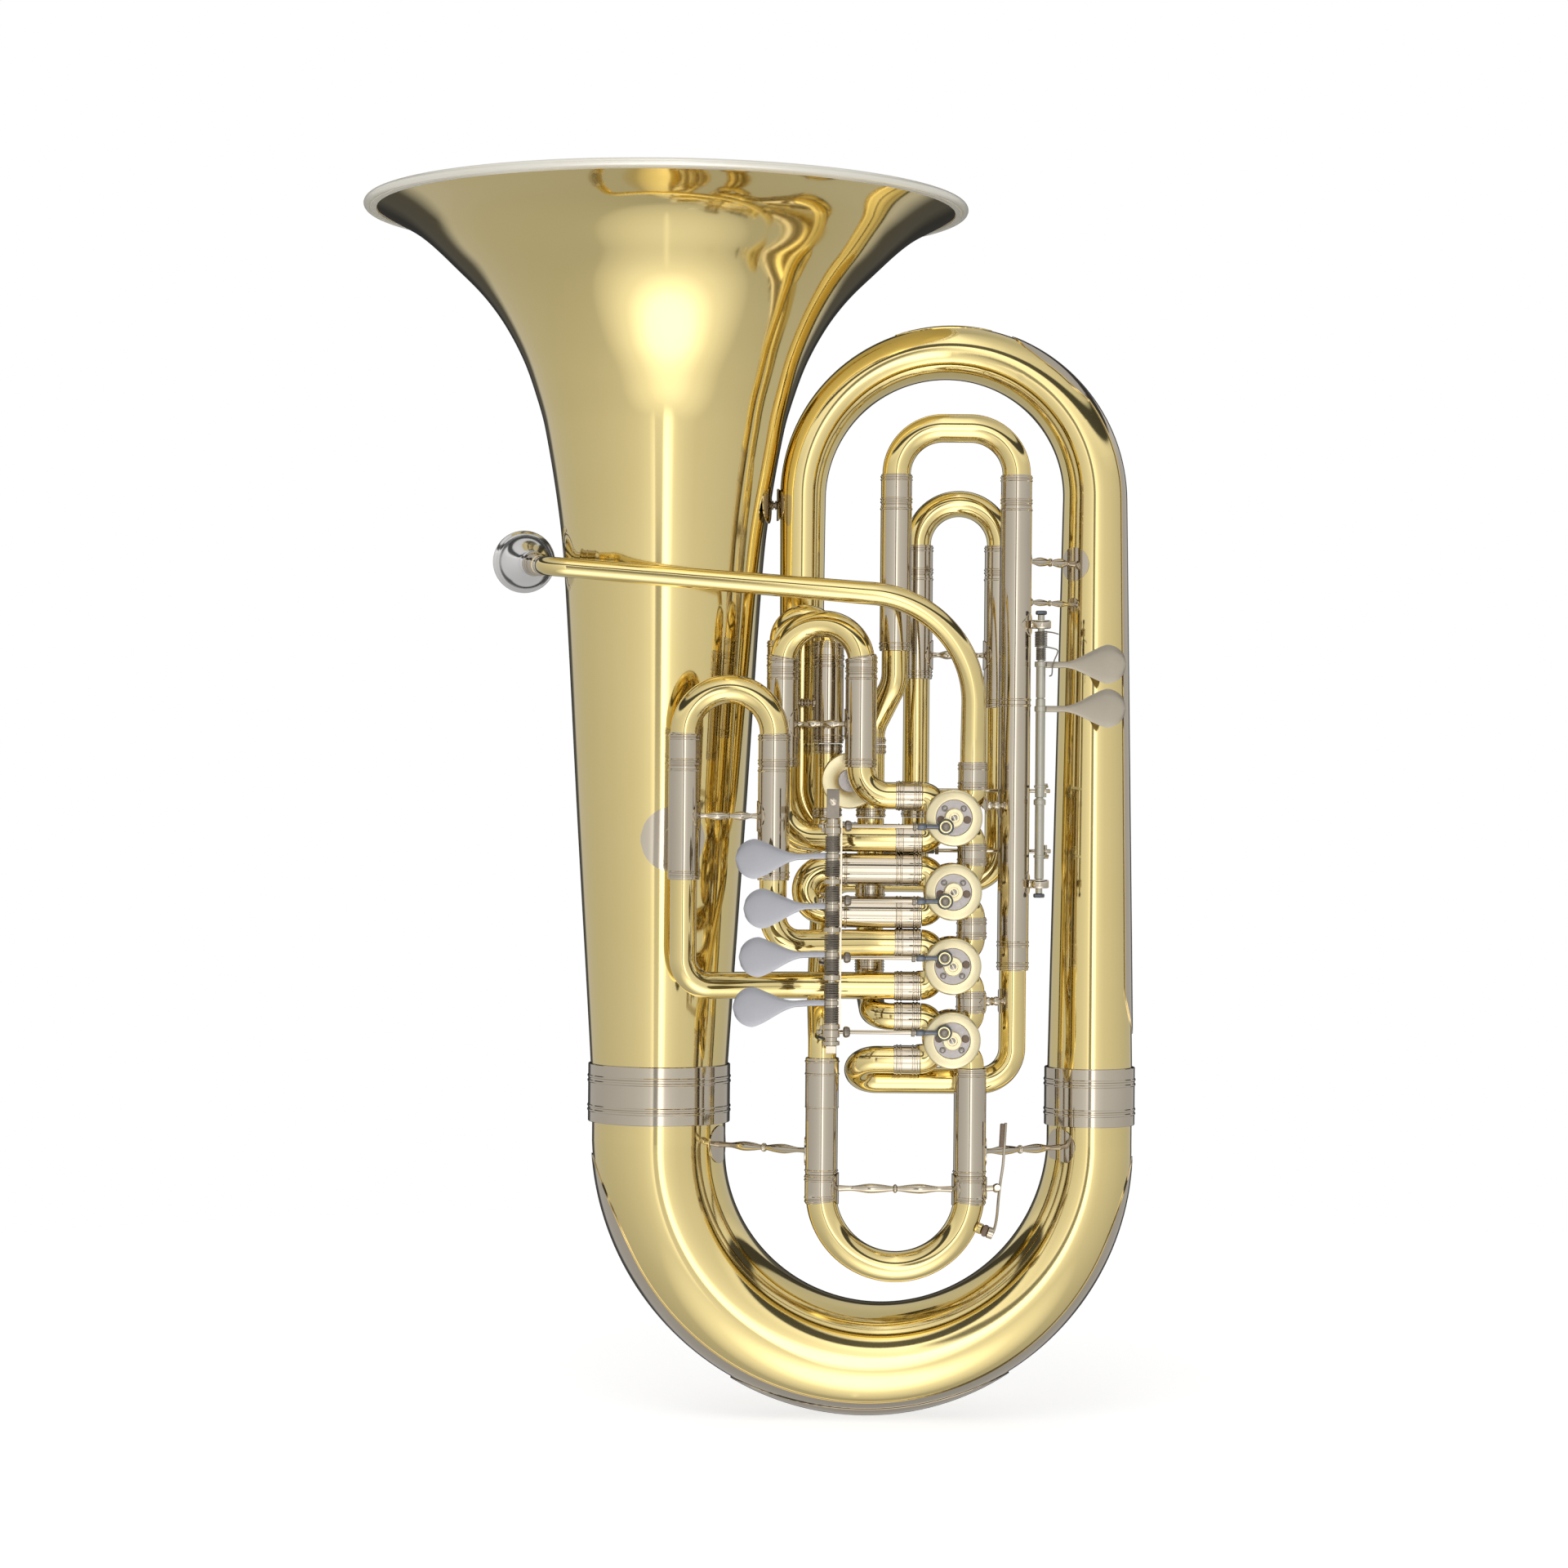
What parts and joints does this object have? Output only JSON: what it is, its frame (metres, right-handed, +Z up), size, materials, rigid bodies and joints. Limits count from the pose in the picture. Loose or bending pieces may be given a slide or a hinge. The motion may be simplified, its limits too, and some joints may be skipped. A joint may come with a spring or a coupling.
{
  "type": "tuba",
  "caption": "Upright rotary-valve bass tuba with a wide bell, a looped main branch, finger and thumb paddles, pull-out tuning slides, a water key and a removable mouthpiece.",
  "frame": {"origin": "middle of the flat under the foot plate, below the lowest point of the bottom bow", "axes": "+Z up along the bell, +X towards the main branch, +Y away from the valves"},
  "size_m": [0.5794, 0.4494, 0.9004],
  "materials": {
    "brass": "polished and clear lacquered",
    "pale_brass": "satin",
    "nickel": "polished nickel silver, lacquered",
    "satin_nickel": "satin",
    "silver": "mirror polished silver plate"
  },
  "bodies": {
    "body": {"bell": "brass", "bell_rim": "nickel", "bell_ferrule": "nickel", "bottom_bow": "brass", "bow_guard": "nickel", "foot_plate": "nickel", "branch_ferrule": "nickel", "main_branch": "brass", "branch_guard": "nickel", "leadpipe": "brass", "mouthpiece_receiver": "nickel", "valve_block": "brass", "valve_casing_5": "brass", "valve_casing_6": "brass", "bearing_cap_1": "pale_brass", "bearing_cap_2": "pale_brass", "bearing_cap_3": "pale_brass", "bearing_cap_4": "pale_brass", "bearing_cap_5": "pale_brass", "bearing_cap_6": "pale_brass", "paddle_rail": "nickel", "valve_1_tubing": "brass", "valve_2_sleeves": "nickel", "valve_3_tubing": "brass", "valve_4_to_5_tube": "brass", "slide_4_left_sleeve": "brass", "slide_4_right_sleeve": "nickel", "slide_5_tubing": "brass", "slide_6_tubing": "brass", "main_sleeve_left": "brass", "main_sleeve_right": "nickel", "bell_brace": "nickel"},
    "rotor_1": {"rotor_1": "pale_brass"},
    "rotor_2": {"rotor_2": "pale_brass"},
    "rotor_3": {"rotor_3": "pale_brass"},
    "rotor_4": {"rotor_4": "pale_brass"},
    "rotor_5": {"rotor_5": "pale_brass"},
    "rotor_6": {"rotor_6": "pale_brass"},
    "link_1": {"link_1": "nickel"},
    "link_2": {"link_2": "nickel"},
    "link_3": {"link_3": "nickel"},
    "link_4": {"link_4": "nickel"},
    "link_5": {"link_5": "nickel"},
    "link_6": {"link_6": "nickel"},
    "paddle_1": {"paddle_1": "satin_nickel"},
    "paddle_2": {"paddle_2": "satin_nickel"},
    "paddle_3": {"paddle_3": "satin_nickel"},
    "paddle_4": {"paddle_4": "satin_nickel"},
    "paddle_5": {"paddle_5": "satin_nickel"},
    "paddle_6": {"paddle_6": "satin_nickel"},
    "slide_1": {"slide_1": "brass"},
    "slide_2": {"slide_2": "brass"},
    "slide_3": {"slide_3": "brass"},
    "slide_4": {"slide_4": "brass"},
    "slide_5": {"slide_5": "brass"},
    "slide_6": {"slide_6": "brass"},
    "main_slide": {"main_slide": "brass"},
    "water_key": {"water_key": "nickel"},
    "mouthpiece": {"mouthpiece": "silver"}
  },
  "joints": [
    {"name": "rotor_1_turn", "type": "hinge", "parent": "body", "child": "rotor_1", "pos_m": [0.053, -0.085, 0.4469], "axis": [0, 1, 0], "range_deg": [-90, 0], "stiffness_Nm_per_rad": 0.02, "springref_deg": 20.05},
    {"name": "rotor_2_turn", "type": "hinge", "parent": "body", "child": "rotor_2", "pos_m": [0.053, -0.085, 0.3936], "axis": [0, 1, 0], "range_deg": [-90, 0], "stiffness_Nm_per_rad": 0.02, "springref_deg": 20.05},
    {"name": "rotor_3_turn", "type": "hinge", "parent": "body", "child": "rotor_3", "pos_m": [0.053, -0.085, 0.3403], "axis": [0, 1, 0], "range_deg": [0, 90], "stiffness_Nm_per_rad": 0.02, "springref_deg": -20.05},
    {"name": "rotor_4_turn", "type": "hinge", "parent": "body", "child": "rotor_4", "pos_m": [0.053, -0.085, 0.287], "axis": [0, 1, 0], "range_deg": [0, 90], "stiffness_Nm_per_rad": 0.02, "springref_deg": -20.05},
    {"name": "rotor_5_turn", "type": "hinge", "parent": "body", "child": "rotor_5", "pos_m": [-0.0215, -0.048, 0.473], "axis": [0, 1, 0], "range_deg": [0, 90], "stiffness_Nm_per_rad": 0.02, "springref_deg": -20.05},
    {"name": "rotor_6_turn", "type": "hinge", "parent": "body", "child": "rotor_6", "pos_m": [0.0149, -0.012, 0.416], "axis": [0, 1, 0], "range_deg": [-90, 0], "stiffness_Nm_per_rad": 0.02, "springref_deg": 20.05},
    {"name": "link_1_swing", "type": "hinge", "parent": "rotor_1", "child": "link_1", "pos_m": [0.04664, -0.12085, 0.44054], "axis": [0, 1, 0], "range_deg": [0, 90]},
    {"name": "link_2_swing", "type": "hinge", "parent": "rotor_2", "child": "link_2", "pos_m": [0.04664, -0.12085, 0.38724], "axis": [0, 1, 0], "range_deg": [0, 90]},
    {"name": "link_3_swing", "type": "hinge", "parent": "rotor_3", "child": "link_3", "pos_m": [0.04664, -0.12085, 0.34666], "axis": [0, 1, 0], "range_deg": [-90, 0]},
    {"name": "link_4_swing", "type": "hinge", "parent": "rotor_4", "child": "link_4", "pos_m": [0.04664, -0.12085, 0.29336], "axis": [0, 1, 0], "range_deg": [-90, 0]},
    {"name": "link_5_swing", "type": "hinge", "parent": "rotor_5", "child": "link_5", "pos_m": [-0.01514, -0.02634, 0.46664], "axis": [0, 1, 0], "range_deg": [-90, 0]},
    {"name": "link_6_swing", "type": "hinge", "parent": "rotor_6", "child": "link_6", "pos_m": [0.02126, -0.03996, 0.42236], "axis": [0, 1, 0], "range_deg": [0, 90]},
    {"name": "paddle_1_press", "type": "hinge", "parent": "body", "child": "paddle_1", "pos_m": [-0.0345, -0.15, 0.4195], "axis": [0, 0, 1], "range_deg": [-24.92, 0]},
    {"name": "paddle_2_press", "type": "hinge", "parent": "body", "child": "paddle_2", "pos_m": [-0.0345, -0.15, 0.384], "axis": [0, 0, 1], "range_deg": [-24.92, 0]},
    {"name": "paddle_3_press", "type": "hinge", "parent": "body", "child": "paddle_3", "pos_m": [-0.0345, -0.15, 0.35], "axis": [0, 0, 1], "range_deg": [-24.92, 0]},
    {"name": "paddle_4_press", "type": "hinge", "parent": "body", "child": "paddle_4", "pos_m": [-0.0345, -0.15, 0.3157], "axis": [0, 0, 1], "range_deg": [-24.92, 0]},
    {"name": "paddle_5_press", "type": "hinge", "parent": "body", "child": "paddle_5", "pos_m": [0.117, -0.068, 0.5265], "axis": [0, 0, 1], "range_deg": [0, 17.48]},
    {"name": "paddle_6_press", "type": "hinge", "parent": "body", "child": "paddle_6", "pos_m": [0.117, -0.068, 0.5587], "axis": [0, 0, 1], "range_deg": [0, 25.9]},
    {"name": "slide_1_pull", "type": "slide", "parent": "body", "child": "slide_1", "axis": [0, 0, 1], "range_m": [0, 0.05]},
    {"name": "slide_2_pull", "type": "slide", "parent": "body", "child": "slide_2", "axis": [-1, 0, 0], "range_m": [0, 0.04]},
    {"name": "slide_3_pull", "type": "slide", "parent": "body", "child": "slide_3", "axis": [0, 0, 1], "range_m": [0, 0.055]},
    {"name": "slide_4_pull", "type": "slide", "parent": "body", "child": "slide_4", "axis": [0, 0, 1], "range_m": [0, 0.08]},
    {"name": "slide_5_pull", "type": "slide", "parent": "body", "child": "slide_5", "axis": [0, 0, 1], "range_m": [0, 0.04]},
    {"name": "slide_6_pull", "type": "slide", "parent": "body", "child": "slide_6", "axis": [0, 0, 1], "range_m": [0, 0.055]},
    {"name": "main_slide_pull", "type": "slide", "parent": "body", "child": "main_slide", "axis": [0, 0, -1], "range_m": [0, 0.06]},
    {"name": "water_key_press", "type": "hinge", "parent": "main_slide", "child": "water_key", "pos_m": [0.084, -0.085, 0.179], "axis": [0, 1, 0], "range_deg": [-8, 0], "stiffness_Nm_per_rad": 0.05, "springref_deg": 20.05},
    {"name": "mouthpiece_pull", "type": "slide", "parent": "body", "child": "mouthpiece", "axis": [-0.1851, 0.9798, 0.0762], "range_m": [0, 0.02]}
  ],
  "couplings": [
    {"joint": "link_1_swing", "follows": "rotor_1_turn", "ratio": -1},
    {"joint": "link_2_swing", "follows": "rotor_2_turn", "ratio": -1},
    {"joint": "link_3_swing", "follows": "rotor_3_turn", "ratio": -1},
    {"joint": "link_4_swing", "follows": "rotor_4_turn", "ratio": -1},
    {"joint": "link_5_swing", "follows": "rotor_5_turn", "ratio": -1},
    {"joint": "link_6_swing", "follows": "rotor_6_turn", "ratio": -1},
    {"joint": "paddle_1_press", "follows": "rotor_1_turn", "ratio": 0.27685},
    {"joint": "paddle_2_press", "follows": "rotor_2_turn", "ratio": 0.27685},
    {"joint": "paddle_3_press", "follows": "rotor_3_turn", "ratio": -0.27685},
    {"joint": "paddle_4_press", "follows": "rotor_4_turn", "ratio": -0.27685},
    {"joint": "paddle_5_press", "follows": "rotor_5_turn", "ratio": 0.19414},
    {"joint": "paddle_6_press", "follows": "rotor_6_turn", "ratio": -0.28775}
  ]
}
